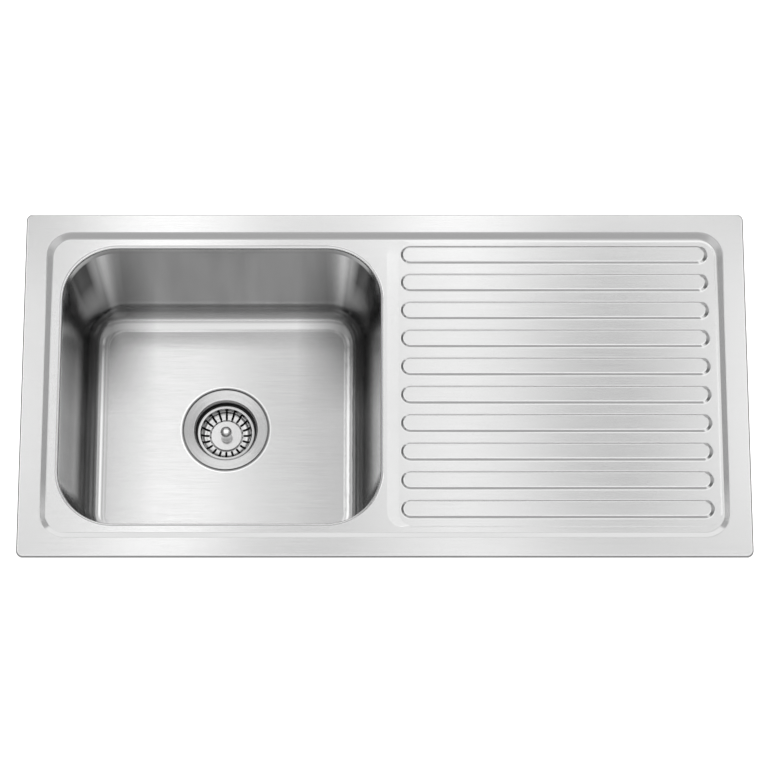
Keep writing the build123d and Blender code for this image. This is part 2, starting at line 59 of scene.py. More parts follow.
# ---------------------------------------------------------------- pressed deck
# One sheet of stainless steel, pressed with the step, the drainboard and its ribs, and brushed
# along its length. Its turned-down edge, step and collar are painted darker, as shade, and a
# painted dark line and a painted highlight run round the bowl's mouth.
class Signal:
    """One output of a material's node tree. Sums and products on signals add Math nodes."""

    def __init__(self, tree, socket=None):
        self.tree = tree
        self.socket = socket

    def node(self, kind, settings=None, sockets=None, output=0):
        """Add a node of a kind: its settings go in first, then the values or links of its sockets."""
        made = self.tree.nodes.new(kind)
        for name, value in (settings or {}).items():
            if name == "stops":
                ramp = made.color_ramp
                while len(ramp.elements) < len(value):
                    ramp.elements.new(1.0)
                for element, (place, shade) in zip(ramp.elements, value):
                    element.position = place
                    element.color = (shade, shade, shade, 1.0)
            else:
                setattr(made, name, value)
        for name, value in (sockets or {}).items():
            if isinstance(value, Signal):
                self.tree.links.new(value.socket, made.inputs[name])
            else:
                made.inputs[name].default_value = value
        return Signal(self.tree, made.outputs[output])

    def math(self, operation, first, second=0.0):
        return self.node("ShaderNodeMath", {"operation": operation}, {0: first, 1: second})

    def __add__(self, other):
        return self.math("ADD", self, other)

    def __radd__(self, other):
        return self.math("ADD", other, self)

    def __sub__(self, other):
        return self.math("SUBTRACT", self, other)

    def __rsub__(self, other):
        return self.math("SUBTRACT", other, self)

    def __mul__(self, other):
        return self.math("MULTIPLY", self, other)

    def __rmul__(self, other):
        return self.math("MULTIPLY", other, self)

    def __pow__(self, other):
        return self.math("POWER", self, other)

    def __abs__(self):
        return self.math("ABSOLUTE", self)


def finish_of(name, **sockets):
    """A new material: returns it, its shader and a signal to build on."""
    material = bpy.data.materials.new(name)
    material.use_nodes = True
    shader = material.node_tree.nodes["Principled BSDF"]
    for socket, value in sockets.items():
        shader.inputs[socket.replace("_", " ")].default_value = value
    return material, shader, Signal(material.node_tree)


def feed(shader, socket, signal):
    signal.tree.links.new(signal.socket, shader.inputs[socket])


def place_of(start):
    """The place on the object, in metres."""
    return start.node("ShaderNodeTexCoord", output="Object")


def parts_of(vector):
    """The three parts of a place or a direction."""
    return [vector.node("ShaderNodeSeparateXYZ", sockets={0: vector}, output=axis) for axis in "XYZ"]


def streaks(place, grain, detail=3.0):
    """Noise drawn out into streaks: grain is how many wrinkles a metre holds along each axis."""
    drawn = place.node("ShaderNodeVectorMath", {"operation": "MULTIPLY"}, {0: place, 1: grain})
    return drawn.node(
        "ShaderNodeTexNoise",
        {"noise_dimensions": "3D"},
        {"Vector": drawn, "Scale": 1.0, "Detail": detail, "Roughness": 0.6},
    )


def between(signal, low, high, first, last):
    """Runs from first to last as the signal goes from low to high, and stays there beyond."""
    return signal.node(
        "ShaderNodeMapRange",
        {"clamp": True},
        {"Value": signal, "From Min": low, "From Max": high, "To Min": first, "To Max": last},
    )


def tint(signal, colour):
    """A colour made brighter or darker by a signal."""
    return signal.node(
        "ShaderNodeVectorMath", {"operation": "SCALE"}, {0: colour, "Scale": signal}
    )


def from_outline(x, y, middle, length, width, corner):
    """How far a place lies outside a rounded rectangle; less than nothing inside it."""
    past_end = x.math("MAXIMUM", abs(x - middle.x) - (length / 2 - corner))
    past_side = y.math("MAXIMUM", abs(y - middle.y) - (width / 2 - corner))
    return (past_end * past_end + past_side * past_side) ** 0.5 - corner


def thin_line(signal, at, strength, spread=1.0):
    """Strength along a thin line, where the signal comes to a value, and nothing beside it."""
    return between(abs(signal - at), 0.3 * LINE_HALF, spread * LINE_HALF, strength, 0.0)


def relief(height, strength, depth):
    """A normal bent by a height signal: depth is what a height of 1 stands for, in metres."""
    return height.node(
        "ShaderNodeBump", sockets={"Height": height, "Strength": strength, "Distance": depth}
    )


def wear(material, *nodes):
    """Give every slot of these CAD nodes' objects this material."""
    for node in nodes:
        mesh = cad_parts[node].data
        mesh.materials.clear()
        mesh.materials.append(material)


STEEL = (0.66, 0.66, 0.66)
BRUSH_GRAIN = (7.0, 2600.0, 2600.0)
BRUSH_DEPTH = 0.0002
SHEEN_GRAIN = (2.5, 420.0, 420.0)
HANDLED_GRAIN = (9.0, 9.0, 9.0)
RIM_CORNER = 0.01
EDGE_SHADE_WIDTH = 0.0022
STEP = 0.00825
STEP_LENGTH = 0.94
STEP_WIDTH = 0.4444
STEP_CORNER = 0.035
STEP_SHADE = 0.4
STEP_BRIGHT_TO = -0.2
STEP_SHADED_FROM = -0.14
STEP_LINE_SHADE_FROM = 0.1
STEP_LINE_SHADE_TO = 0.18
OPENING_LENGTH = 0.44
OPENING_WIDTH = 0.4
OPENING_CORNER = 0.075
OPENING_LINE = 0.0037
OPENING_GLINT = 0.0018
COLLAR_SHADE = 0.42
LINE_HALF = 0.001
LINE_CONTRAST = 0.45

deck_steel, shader, start = finish_of("brushed_deck", Metallic=1.0)
place = place_of(start)
x, y = parts_of(place)[:2]
fine = streaks(place, BRUSH_GRAIN)
broad = streaks(place, SHEEN_GRAIN)
handled = streaks(place, HANDLED_GRAIN)

# Painted shade: a dark band along the sheet's turned-down edge, the step darker at the back and
# sides than in front, and a dark line at its crest and foot, stronger at the back.
low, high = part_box("deck")
middle = (low + high) / 2
from_rim = from_outline(x, y, middle, high.x - low.x, high.y - low.y, RIM_CORNER)
edge_shade = between(from_rim, -EDGE_SHADE_WIDTH, -0.3 * EDGE_SHADE_WIDTH, 0.0, 1.0)
from_step = from_outline(x, y, middle, STEP_LENGTH, STEP_WIDTH, STEP_CORNER)
off_step = abs(from_step + STEP / 2)
step_shade = between(off_step, 0.35 * STEP, 0.55 * STEP, STEP_SHADE, 0.0)
step_shade = step_shade * between(y, STEP_BRIGHT_TO, STEP_SHADED_FROM, 0.0, 1.0)
step_line_shade = thin_line(off_step, STEP / 2, STEP_SHADE)
step_line_shade = step_line_shade * between(y, STEP_LINE_SHADE_FROM, STEP_LINE_SHADE_TO, 0.25, 1.0)

# The bowl's mouth: a painted dark line of shade, a painted highlight inside it, and painted
# shade on the collar.
low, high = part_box("bowl")
from_bowl = from_outline(x, y, (low + high) / 2, OPENING_LENGTH, OPENING_WIDTH, OPENING_CORNER)
mouth_line_shade = thin_line(from_bowl, OPENING_LINE, 1.0)
glint = thin_line(from_bowl, OPENING_GLINT, 1.0, 1.2)
collar_shade = between(from_bowl, -LINE_HALF, LINE_HALF, COLLAR_SHADE, 0.0)

# The painted highlight raises the deck's colour; the painted shade of the lines, collar, step and
# edge lowers it.
painted_shading = 1.0 + glint * LINE_CONTRAST - mouth_line_shade * LINE_CONTRAST - collar_shade
painted_shading = painted_shading * (1.0 - step_shade) * (1.0 - step_line_shade) * (1.0 - edge_shade * 0.6)
bright = (0.95 + fine * 0.06 + broad * 0.04) * painted_shading
feed(shader, "Base Color", tint(bright, STEEL))
feed(shader, "Roughness", 0.09 + fine * 0.05 + handled * 0.04 + glint * 0.4)
feed(shader, "Normal", relief(fine, 0.13, BRUSH_DEPTH))
wear(deck_steel, "deck")


# ---------------------------------------------------------------- deep-drawn bowl
# Drawn from the same steel and welded under the deck. Its floor is brushed along the sink and its
# walls round the bowl, with random upright bands. Painted shade darkens the side walls' upper
# part, a band by each corner, the floor toward its back and the seat pressed for the strainer,
# and painted highlights run up each corner and round the seat's lip.
low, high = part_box("strainer_body")
DRAIN = (low + high) / 2
FLOOR_Z = high.z
WALL_GRAIN = (6.0, 6.0, 1800.0)
FLOOR_GRAIN = (7.0, 2600.0, 60.0)
BAND_GRAIN = (26.0, 26.0, 1.5)
FILLET_FROM = 0.006
FILLET_TO = 0.026
FILLET_MIDDLE = 0.0138
FILLET_HALF = 0.0048
FILLET_FADE = 0.012
BOWL_FRONT = -0.14
BOWL_BACK = 0.14
CORNER_START = 0.02
CORNER_FROM = 0.1
CORNER_TO = 0.165
SIDE_FROM = 0.88
SIDE_FULL = 0.97
MOUTH_SHADE = 0.15
CORNER_HIGHLIGHT_AT = 0.1
CORNER_SHADE_AT = 0.56
CORNER_SHADE_FROM = -0.13
CORNER_SHADE_TO = -0.07
SEAT_EDGE = 0.0622
SEAT_LIP = 0.0638


def about_drain(place):
    """Where a place lies about the drain's axis: how far out, and which way on the level."""
    offset = place.node("ShaderNodeVectorMath", {"operation": "SUBTRACT"}, {0: place, 1: DRAIN})
    flat = offset.node(
        "ShaderNodeVectorMath", {"operation": "MULTIPLY"}, {0: offset, 1: (1.0, 1.0, 0.0)}
    )
    radius = flat.node(
        "ShaderNodeVectorMath", {"operation": "LENGTH"}, {0: flat}, output="Value"
    )
    return radius, flat.node("ShaderNodeVectorMath", {"operation": "NORMALIZE"}, {0: flat})


def side_wall_shade(z, full, turning, bright_from, darkening, lightening):
    """Painted shade on a side wall: more down to full, then less, from turning to bright_from."""
    above = between(z, 0.0, full, MOUTH_SHADE, darkening)
    return above - between(z, turning, bright_from, 0.0, lightening)


bowl_steel, shader, start = finish_of("brushed_bowl", Metallic=1.0)
place = place_of(start)
x, y, z = parts_of(place)
radius = about_drain(place)[0]
on_wall = between(z, FLOOR_Z + FILLET_FROM, FLOOR_Z + FILLET_TO, 0.0, 1.0)
fine = streaks(place, FLOOR_GRAIN) * (1.0 - on_wall) + streaks(place, WALL_GRAIN) * on_wall
bands = streaks(place, BAND_GRAIN, 2.0)

# Painted shade and highlight: the side walls are painted darker in their upper part, and each
# corner has a painted highlight band and a painted shade band.
# Sideways runs from 0 on the back wall, round the corner, to 1 on the side walls.
facing_x = parts_of(start.node("ShaderNodeTexCoord", output="Normal"))[0]
sideways = facing_x * facing_x
on_left = between(facing_x, SIDE_FROM, SIDE_FULL, 0.0, 1.0)
on_right = between(facing_x, -SIDE_FROM, -SIDE_FULL, 0.0, 1.0)
side_shade = (
    side_wall_shade(z, -0.08, -0.11, -0.165, 0.68, 0.95) * on_left
    + side_wall_shade(z, -0.05, -0.09, -0.14, 0.42, 0.9) * on_right
)
corner_highlight = between(abs(sideways - CORNER_HIGHLIGHT_AT), 0.02, 0.1, 0.6, 0.0)
corner_shade = between(abs(sideways - CORNER_SHADE_AT), 0.16, 0.32, 0.6, 0.0)
corner_shade = corner_shade * between(z, CORNER_SHADE_TO, CORNER_SHADE_FROM, 1.0, 0.1)
wall_tone = 0.47 + bands * 0.3 + corner_highlight - corner_shade

# Painted shade: the floor is darker toward its back and its back corners, and inside the seat,
# whose lip has a painted highlight.
floor_corner_shade = between(y, CORNER_START, BOWL_BACK, 0.22, 1.0)
floor_corner_shade = floor_corner_shade * between(abs(x - DRAIN.x), CORNER_FROM, CORNER_TO, 0.0, 0.58)
floor_tone = between(y, BOWL_FRONT, BOWL_BACK, 0.9, 0.8) - floor_corner_shade
seat_shade = between(radius, SEAT_EDGE, SEAT_EDGE + LINE_HALF, 0.6, 0.0)
lip_highlight = thin_line(radius, SEAT_LIP, 0.3, 1.4)
in_fillet = between(abs(z - FLOOR_Z - FILLET_MIDDLE), FILLET_HALF, FILLET_FADE, 0.12, 0.0)

tone = floor_tone * (1.0 - on_wall) + wall_tone * on_wall
tone = tone * (1.0 - side_shade) * (1.0 - seat_shade + lip_highlight)
feed(shader, "Base Color", tint(tone + fine * 0.06, STEEL))
feed(shader, "Roughness", 0.1 + fine * 0.05 + in_fillet)
feed(shader, "Normal", relief(fine, 0.16, BRUSH_DEPTH))
wear(bowl_steel, "bowl")


# ---------------------------------------------------------------- strainer body and crosspiece
# The cup is spun steel with the fine rings of the lathe on it. Its flange is painted darker at its
# left and right sides, as shade, and its inside below the bowl's floor is painted dark, as shade.
# The crosspiece is welded in, and the plate is turned too.
RING_COUNT = 1800.0
WELL_SHADE_FROM = 0.005
WELL_SHADE_FULL = 0.012


def turned(radius, height, lines):
    """Fine rings round an upright axis, as a lathe leaves them: lines is their number a metre."""
    return radius.node(
        "ShaderNodeTexNoise",
        {"noise_dimensions": "1D"},
        {"W": radius * lines + height * lines, "Scale": 1.0, "Detail": 3.0, "Roughness": 0.6},
    )


turned_steel, shader, start = finish_of("turned_strainer", Metallic=1.0)
place = place_of(start)
z = parts_of(place)[2]
radius, outward = about_drain(place)
rings = turned(radius, z, RING_COUNT)
outward_x = parts_of(outward)[0]
facing = start.node("ShaderNodeTexCoord", output="Normal")
facing_out = facing.node(
    "ShaderNodeVectorMath", {"operation": "DOT_PRODUCT"}, {0: facing, 1: outward}, output="Value"
)
facing_up = parts_of(facing)[2]
inside = between(facing_out - facing_up, -0.3, 0.3, 1.0, 0.0)
well_shade = between(FLOOR_Z - z, WELL_SHADE_FROM, WELL_SHADE_FULL, 0.0, 1.0) * inside
# Painted shade: the flange darker toward its left and right sides, the well under the basket near
# black.
bright = (0.82 + rings * 0.14 - outward_x * outward_x * 0.3) * (1.0 - well_shade * 0.92)
feed(shader, "Base Color", tint(bright, STEEL))
feed(shader, "Roughness", 0.1 + rings * 0.06 + well_shade * 0.3)
feed(shader, "Normal", relief(rings, 0.4, BRUSH_DEPTH))
wear(turned_steel, "strainer_body")


SMOOTH_TO = math.radians(32)
SHARP_FROM = math.radians(40)
FLAT_TO = math.radians(1)
SAME_PLACE = 1e-6


def finished(shape, name, material, body):
    """Turn a bmesh into a piece that wears a material and rides on a body."""
    bmesh.ops.recalc_face_normals(shape, faces=shape.faces)
    mesh = bpy.data.meshes.new(name)
    shape.to_mesh(mesh)
    shape.free()
    mesh.polygons.foreach_set("use_smooth", [True] * len(mesh.polygons))
    mesh.set_sharp_from_angle(angle=SMOOTH_TO)
    mesh.materials.append(material)
    piece = bpy.data.objects.new(name, mesh)
    bpy.context.scene.collection.objects.link(piece)
    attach(piece, body)
    return piece


def softened(node, edge, material, body):
    """Stand in for a CAD node of the same form with its sharp edges rounded off by edge metres."""
    shape = bmesh.new()
    shape.from_mesh(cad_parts[node].data)
    bmesh.ops.remove_doubles(shape, verts=shape.verts, dist=SAME_PLACE)
    bmesh.ops.dissolve_limit(shape, angle_limit=FLAT_TO, verts=shape.verts, edges=shape.edges)
    sharp = [
        line for line in shape.edges
        if len(line.link_faces) == 2 and line.calc_face_angle() > SHARP_FROM
    ]
    bmesh.ops.bevel(
        shape, geom=sharp, offset=edge, segments=2, profile=0.5, affect="EDGES",
        clamp_overlap=True, material=-1,
    )
    piece = finished(shape, f"{node}_finished", material, body)
    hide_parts(node)


softened("crosspiece", 0.0004, turned_steel, "sink")
softened("stopper_plate", 0.0003, turned_steel, "stopper")


# ---------------------------------------------------------------- outlet thread
# Cut round the outlet for the trap's nut: a pipe thread of eleven turns an inch.
THREAD_PITCH = 0.00231
THREAD_DEPTH = 0.0007
THREAD_TURNS = 8
THREAD_SEGMENTS = 64
OUTLET_RADIUS = 0.0239
# A ridge's corners: how far out, in depths, and how high, in pitches.
RIDGE = ((-0.1, -0.48), (1.0, -0.06), (1.0, 0.06), (-0.1, 0.48))


def thread(bottom, turns, radius, pitch, depth, segments):
    """A ridge screwed up round the origin's axis, running out flat over its first and last turns."""
    shape = bmesh.new()
    outline = [
        shape.verts.new((radius + out * depth, 0, bottom + rise * pitch)) for out, rise in RIDGE
    ]
    edges = [shape.edges.new(pair) for pair in zip(outline, outline[1:] + outline[:1])]
    bmesh.ops.contextual_create(shape, geom=outline)
    wound = bmesh.ops.spin(
        shape, geom=outline + edges, cent=(0, 0, 0), axis=(0, 0, 1), dvec=(0, 0, pitch / segments),
        angle=math.tau * turns, steps=turns * segments, use_merge=False, use_duplicate=False,
    )
    last = [part for part in wound["geom_last"] if isinstance(part, bmesh.types.BMVert)]
    bmesh.ops.contextual_create(shape, geom=last)
    for vert in shape.verts:
        from_end = min(vert.co.z - bottom, bottom + turns * pitch - vert.co.z) / pitch
        outward = Vector((vert.co.x, vert.co.y, 0))
        proud = outward.length - radius
        if proud > 0 and from_end < 1:
            vert.co -= outward.normalized() * proud * (1 - max(from_end, 0))
    return shape


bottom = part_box("strainer_body")[0].z + THREAD_PITCH
shape = thread(
    bottom, THREAD_TURNS, OUTLET_RADIUS, THREAD_PITCH, THREAD_DEPTH, THREAD_SEGMENTS
)
bmesh.ops.translate(shape, verts=shape.verts, vec=(DRAIN.x, DRAIN.y, 0))
finished(shape, "outlet_thread", turned_steel, "sink")


# ---------------------------------------------------------------- lift-out basket
# Pressed from thin bright sheet with a rolled rim, which is darker than the rest.
BASKET_RING_COUNT = 900.0
BASKET_GRAIN = (260.0, 260.0, 90.0)
RIM_DARK_FROM = 0.0375
RIM_DARK_FULL = 0.0395

basket_steel, shader, start = finish_of("bright_basket", Metallic=1.0)
place = place_of(start)
z = parts_of(place)[2]
radius = about_drain(place)[0]
rings = turned(radius, z, BASKET_RING_COUNT)
grain = streaks(place, BASKET_GRAIN)
darker_rim = between(radius, RIM_DARK_FROM, RIM_DARK_FULL, 0.0, 1.0)
# The rolled rim is darker than the rest of the basket.
feed(shader, "Base Color", tint(0.78 + grain * 0.12 - darker_rim * 0.22, STEEL))
feed(shader, "Roughness", 0.08 + grain * 0.1)
feed(shader, "Normal", relief(rings, 0.12, BRUSH_DEPTH))
wear(basket_steel, "basket")


# ---------------------------------------------------------------- knob, stem and snap ring
# The knob is turned and polished. Handling has left faint scratches on its ball, and the neck
# below it is painted darker, as shade under the ball.
SCRATCH_GRAIN = (2400.0, 500.0, 300.0)
NECK_SHARE = 0.4

polished, shader, start = finish_of("polished_knob", Metallic=1.0)
place = place_of(start)
z = parts_of(place)[2]
scratches = streaks(place, SCRATCH_GRAIN, 6.0)
low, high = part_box("knob")
neck = (high.z - low.z) * NECK_SHARE
# Painted shade on the neck under the ball.
neck_shade = between(z, low.z + 0.7 * neck, low.z + neck, 0.4, 0.0)
feed(shader, "Base Color", tint((1.28 + scratches * 0.1) * (1.0 - neck_shade), STEEL))
feed(shader, "Roughness", between(scratches, 0.45, 0.7, 0.3, 0.4))
wear(polished, "knob", "stem", "snap_ring")


# ---------------------------------------------------------------- rubber, foam and fibre seals
# Black moulded rubber above and below the bowl's floor and under the stopper, a fibre ring
# under the rubber one, and foam tape under the rim.
RUBBER = (0.028, 0.028, 0.029)
DUST_GRAIN = (900.0, 900.0, 900.0)
FOAM = (0.1, 0.1, 0.1)
FOAM_CELLS = 1100.0
CELL_DEPTH = 0.0006
FIBRE = (0.5, 0.34, 0.2)
STRAND_GRAIN = (500.0, 1900.0, 1900.0)

rubber, shader, start = finish_of("black_rubber")
dust = streaks(place_of(start), DUST_GRAIN, 5.0)
feed(shader, "Base Color", tint(0.5 + dust, RUBBER))
feed(shader, "Roughness", 0.5 + dust * 0.2)
feed(shader, "Normal", relief(dust, 0.3, BRUSH_DEPTH))
wear(rubber, "flange_gasket", "rubber_washer", "stopper_seal")

foam, shader, start = finish_of("foam_tape")
cells = start.node(
    "ShaderNodeTexVoronoi", {"feature": "F1"}, {"Vector": place_of(start), "Scale": FOAM_CELLS}
)
feed(shader, "Base Color", tint(0.6 + cells * 0.8, FOAM))
feed(shader, "Roughness", 0.8 + cells * 0.15)
feed(shader, "Normal", relief(cells, 0.7, CELL_DEPTH))
wear(foam, "rim_seal")

fibre, shader, start = finish_of("pressed_fibre")
strands = streaks(place_of(start), STRAND_GRAIN, 6.0)
feed(shader, "Base Color", tint(0.7 + strands * 0.6, FIBRE))
feed(shader, "Roughness", 0.65 + strands * 0.2)
feed(shader, "Normal", relief(strands, 0.4, BRUSH_DEPTH))
wear(fibre, "fibre_washer")


# ---------------------------------------------------------------- cast locknut
# A brass ring nut as it comes from the mould, with a grainy skin that has darkened here and there.
BRASS = (0.72, 0.55, 0.3, 1.0)
TARNISHED = (0.45, 0.32, 0.17, 1.0)
SKIN_GRAIN = (1300.0, 1300.0, 1300.0)
TARNISH_GRAIN = (60.0, 60.0, 60.0)


def mixed(factor, first, last):
    """A colour that runs from first to last as the factor goes from 0 to 1."""
    return factor.node(
        "ShaderNodeMix", {"data_type": "RGBA"}, {"Factor": factor, "A": first, "B": last}, output=2
    )


brass, shader, start = finish_of("cast_brass", Metallic=1.0)
place = place_of(start)
skin = streaks(place, SKIN_GRAIN, 5.0)
tarnish = streaks(place, TARNISH_GRAIN, 4.0)
feed(shader, "Base Color", mixed(between(tarnish, 0.4, 0.65, 0.0, 1.0), BRASS, TARNISHED))
feed(shader, "Roughness", 0.28 + skin * 0.2 + tarnish * 0.1)
feed(shader, "Normal", relief(skin, 0.5, BRUSH_DEPTH))
softened("locknut", 0.0008, brass, "sink")


# ---------------------------------------------------------------- nylon guide bush
# Moulded in natural nylon, a little cloudy.
NYLON = (0.82, 0.81, 0.76)
CLOUD_GRAIN = (300.0, 300.0, 300.0)

nylon, shader, start = finish_of("natural_nylon")
cloud = streaks(place_of(start), CLOUD_GRAIN)
feed(shader, "Base Color", tint(0.92 + cloud * 0.16, NYLON))
feed(shader, "Roughness", 0.3 + cloud * 0.15)
softened("guide_bush", 0.0003, nylon, "basket")


# ---------------------------------------------------------------- sound-deadening pads
# Bitumen rubber glued on. Its face is pressed with a waffle of small squares.
BITUMEN = (0.21, 0.21, 0.22)
GRIT_GRAIN = (1500.0, 1500.0, 1500.0)
WAFFLE_PITCH = 0.006
WAFFLE_DEPTH = 0.0006

pads, shader, start = finish_of("damping_pads")
place = place_of(start)
grit = streaks(place, GRIT_GRAIN, 4.0)
waves = [part.math("COSINE", part * (math.tau / WAFFLE_PITCH)) for part in parts_of(place)]
waffle = waves[0].math("MAXIMUM", waves[0], waves[1])
waffle = waffle.math("MAXIMUM", waffle, waves[2])
groove = between(waffle, 0.8, 1.0, 1.0, 0.0)
feed(shader, "Base Color", tint(0.55 + grit * 0.5 + groove * 0.25, BITUMEN))
feed(shader, "Roughness", 0.62 + grit * 0.2)
feed(shader, "Normal", relief(groove + grit * 0.3, 0.6, WAFFLE_DEPTH))
for node in ("floor_pad", "wall_pads"):
    softened(node, 0.0007, pads, "sink")


# ---------------------------------------------------------------- galvanised channels and straps
# Folded from hot-dip galvanised sheet, whose zinc has set in leaf-like crystals.
ZINC = (0.6, 0.61, 0.62)
ZINC_LEAVES = 190.0
DULL_GRAIN = (90.0, 90.0, 90.0)

galvanised, shader, start = finish_of("galvanised_sheet", Metallic=1.0)
place = place_of(start)
leaves = start.node(
    "ShaderNodeTexVoronoi", {"feature": "F1"}, {"Vector": place, "Scale": ZINC_LEAVES},
    output="Color",
)
leaf = leaves.node("ShaderNodeSeparateColor", sockets={0: leaves})
dull = streaks(place, DULL_GRAIN, 4.0)
feed(shader, "Base Color", tint(0.78 + leaf * 0.24, ZINC))
feed(shader, "Roughness", 0.3 + leaf * 0.14 + dull * 0.12)
feed(shader, "Normal", relief(leaf, 0.15, BRUSH_DEPTH))
for node in ("stiffener_left", "stiffener_right", "clip_straps"):
    softened(node, 0.0004, galvanised, "sink")


# ---------------------------------------------------------------- spot welds and bowl seam
# The channels' flanges are spot welded to the drainboard, and a bead runs round the bowl where
# it meets the deck's collar. Both have the straw and blue tints that heat leaves.
STRAW_TINT = (0.6, 0.53, 0.4, 1.0)
BLUE_TINT = (0.38, 0.43, 0.55, 1.0)
RIPPLE_GRAIN = (700.0, 700.0, 700.0)
RIPPLE_DEPTH = 0.0005
HEAT_GRAIN = (45.0, 45.0, 45.0)
WELD_RADIUS = 0.0026
WELD_HEIGHT = 0.00035
WELD_PITCH = 0.05
WELD_FROM_END = 0.02
WELD_IN_FLANGE = 0.006
FLANGE_THICKNESS = 0.001
BEAD_RADIUS = 0.0013
BEAD_WIDTH = 0.00156
BEAD_CORNER = 0.0745
BEAD_CORNER_STEPS = 16

welded, shader, start = finish_of("welded_steel", Metallic=1.0)
place = place_of(start)
ripple = streaks(place, RIPPLE_GRAIN, 2.0)
heat = streaks(place, HEAT_GRAIN)
feed(shader, "Base Color", mixed(between(heat, 0.38, 0.62, 0.0, 1.0), STRAW_TINT, BLUE_TINT))
feed(shader, "Roughness", 0.25 + ripple * 0.2)
feed(shader, "Normal", relief(ripple, 0.6, RIPPLE_DEPTH))

shape = bmesh.new()
flatten = Matrix.Diagonal((1, 1, WELD_HEIGHT / WELD_RADIUS, 1))
for node in ("stiffener_left", "stiffener_right"):
    low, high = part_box(node)
    count = int((high.y - low.y - 2 * WELD_FROM_END) / WELD_PITCH)
    first = (low.y + high.y - count * WELD_PITCH) / 2
    for flange in (low.x + WELD_IN_FLANGE, high.x - WELD_IN_FLANGE):
        for number in range(count + 1):
            where = (flange, first + number * WELD_PITCH, high.z - FLANGE_THICKNESS)
            bmesh.ops.create_uvsphere(
                shape, u_segments=20, v_segments=10, radius=WELD_RADIUS,
                matrix=Matrix.Translation(where) @ flatten,
            )
finished(shape, "spot_welds", welded, "sink")

# The bead starts as a plate the size of its outline, whose middle is then cut away.
shape = bmesh.new()
low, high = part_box("bowl")
middle = (low + high) / 2
spread = high - low + Vector((2 * BEAD_RADIUS, 2 * BEAD_RADIUS, 0))
bmesh.ops.create_grid(
    shape, x_segments=1, y_segments=1, size=0.5,
    matrix=(
        Matrix.Translation((middle.x, middle.y, high.z + BEAD_RADIUS))
        @ Matrix.Diagonal((spread.x, spread.y, 1, 1))
    ),
)
bmesh.ops.bevel(
    shape, geom=shape.verts[:], offset=BEAD_CORNER + BEAD_RADIUS, segments=BEAD_CORNER_STEPS,
    profile=0.5, affect="VERTICES", material=-1,
)
panel = shape.faces[:]
bmesh.ops.inset_region(
    shape, faces=panel, thickness=BEAD_WIDTH, use_boundary=True, use_even_offset=True
)
bmesh.ops.delete(shape, geom=panel, context="FACES")
bmesh.ops.solidify(shape, geom=shape.faces[:], thickness=2 * BEAD_RADIUS)
bead_edges = [line for line in shape.edges if line.calc_face_angle(0) > SHARP_FROM]
bmesh.ops.bevel(
    shape, geom=bead_edges, offset=0.5 * BEAD_RADIUS, segments=2, profile=0.5, affect="EDGES",
    material=-1,
)
finished(shape, "bowl_seam", welded, "sink")


# ---------------------------------------------------------------- worktop clips
# Bolts, nuts and stamped claws, all zinc plated, with the faint bloom that plating has.
BRIGHT_PLATING = (0.66, 0.68, 0.71, 1.0)
BLOOMED_PLATING = (0.7, 0.69, 0.62, 1.0)
BLOOM_GRAIN = (120.0, 120.0, 120.0)
SPECK_GRAIN = (1600.0, 1600.0, 1600.0)
ROUNDED_EDGE = 0.0005
BOLT_RADIUS = 0.003
BOLT_PITCH = 0.001
BOLT_THREAD_DEPTH = 0.00028
BOLT_TURNS = 38
BOLT_SEGMENTS = 20

plated, shader, start = finish_of("zinc_plated", Metallic=1.0)
place = place_of(start)
bloom = streaks(place, BLOOM_GRAIN, 5.0)
speck = streaks(place, SPECK_GRAIN)
bloomed = between(bloom, 0.35, 0.7, 0.0, 1.0)
feed(shader, "Base Color", mixed(bloomed, BRIGHT_PLATING, BLOOMED_PLATING))
feed(shader, "Roughness", 0.2 + speck * 0.16 + bloom * 0.06)
feed(shader, "Normal", relief(speck, 0.15, BRUSH_DEPTH))
softened("clip_bolts", ROUNDED_EDGE, plated, "sink")
softened("stopper_nut", ROUNDED_EDGE, plated, "stopper")
clip_nuts = [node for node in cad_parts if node.startswith("nut_")]
clip_claws = [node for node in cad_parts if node.startswith("claw_")]
for node in clip_nuts + clip_claws:
    softened(node, ROUNDED_EDGE, plated, node)

# One thread is wound and then copied to every bolt, which stands where its nut is.
bolt_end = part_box("clip_bolts")[0].z + BOLT_PITCH
shape = thread(bolt_end, BOLT_TURNS, BOLT_RADIUS, BOLT_PITCH, BOLT_THREAD_DEPTH, BOLT_SEGMENTS)
first_thread = shape.verts[:] + shape.edges[:] + shape.faces[:]
first_corners = shape.verts[:]
for node in clip_nuts:
    low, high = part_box(node)
    middle = (low + high) / 2
    copied = bmesh.ops.duplicate(shape, geom=first_thread)["geom"]
    corners = [part for part in copied if isinstance(part, bmesh.types.BMVert)]
    bmesh.ops.translate(shape, verts=corners, vec=(middle.x, middle.y, 0))
bmesh.ops.delete(shape, geom=first_corners, context="VERTS")
finished(shape, "bolt_threads", plated, "sink")


# ---------------------------------------------------------------- floor, light and camera
# A pale floor that glows a little and is clear from below, softboxes all round like the walls
# and the ceiling of a room, and a long lens, as in a product photograph.
FLOOR_SIZE = 30.0
FLOOR_GLOW = 0.8
CEILING = 2.4
WALL = 2.45

bpy.ops.mesh.primitive_plane_add(size=FLOOR_SIZE, location=(0, 0, cad_box[0].z))
floor = bpy.context.object
floor.name = "floor"
pale, shader, start = finish_of("pale_floor", Base_Color=(0.9, 0.9, 0.9, 1.0), Roughness=0.8)
shader.inputs["Emission Color"].default_value = (1.0, 1.0, 1.0, 1.0)
shader.inputs["Emission Strength"].default_value = FLOOR_GLOW
from_below = start.node("ShaderNodeNewGeometry", output="Backfacing")
clear = start.node("ShaderNodeBsdfTransparent")
seen = start.node(
    "ShaderNodeMixShader", sockets={0: from_below, 1: Signal(start.tree, shader.outputs[0]), 2: clear}
)
start.tree.links.new(seen.socket, start.tree.nodes["Material Output"].inputs["Surface"])
floor.data.materials.append(pale)

